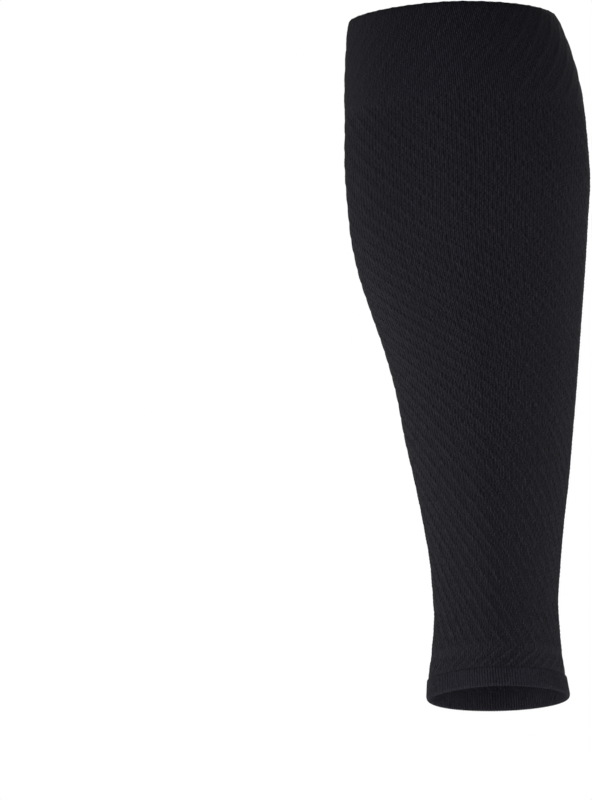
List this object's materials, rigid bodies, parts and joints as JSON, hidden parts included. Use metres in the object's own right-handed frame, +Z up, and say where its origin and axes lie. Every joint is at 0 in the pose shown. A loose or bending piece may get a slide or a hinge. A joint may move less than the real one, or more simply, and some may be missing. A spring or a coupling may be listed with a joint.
{
  "type": "compression calf sleeve",
  "caption": "Footless knitted compression sleeve for the calf in its worn form, with a wide knee cuff, helical ribs and an ankle hem.",
  "frame": {"origin": "on the leg's axis, level with the widest girth of the calf, where the sleeve is held by the leg inside it", "axes": "+Z up along the leg's axis towards the knee, -Y towards the shin, -X towards the inner side of a left leg"},
  "size_m": [0.1179, 0.1233, 0.3333],
  "materials": {
    "cuff_knit": "black dense nylon and elastane knit, matt with a soft sheen, shallow diagonal ribs",
    "ribbed_knit": "black stretch knit, matt with a soft sheen, raised helical ribs over fine upright wales",
    "band_knit": "black stretch knit, the ribs turned back the other way",
    "hem_knit": "black doubled knit welt with fine upright ribs and a rounded edge"
  },
  "bodies": {
    "root": {"top_cuff": "cuff_knit", "calf_tube": "ribbed_knit", "ankle_band": "band_knit", "ankle_hem": "hem_knit"}
  },
  "joints": []
}
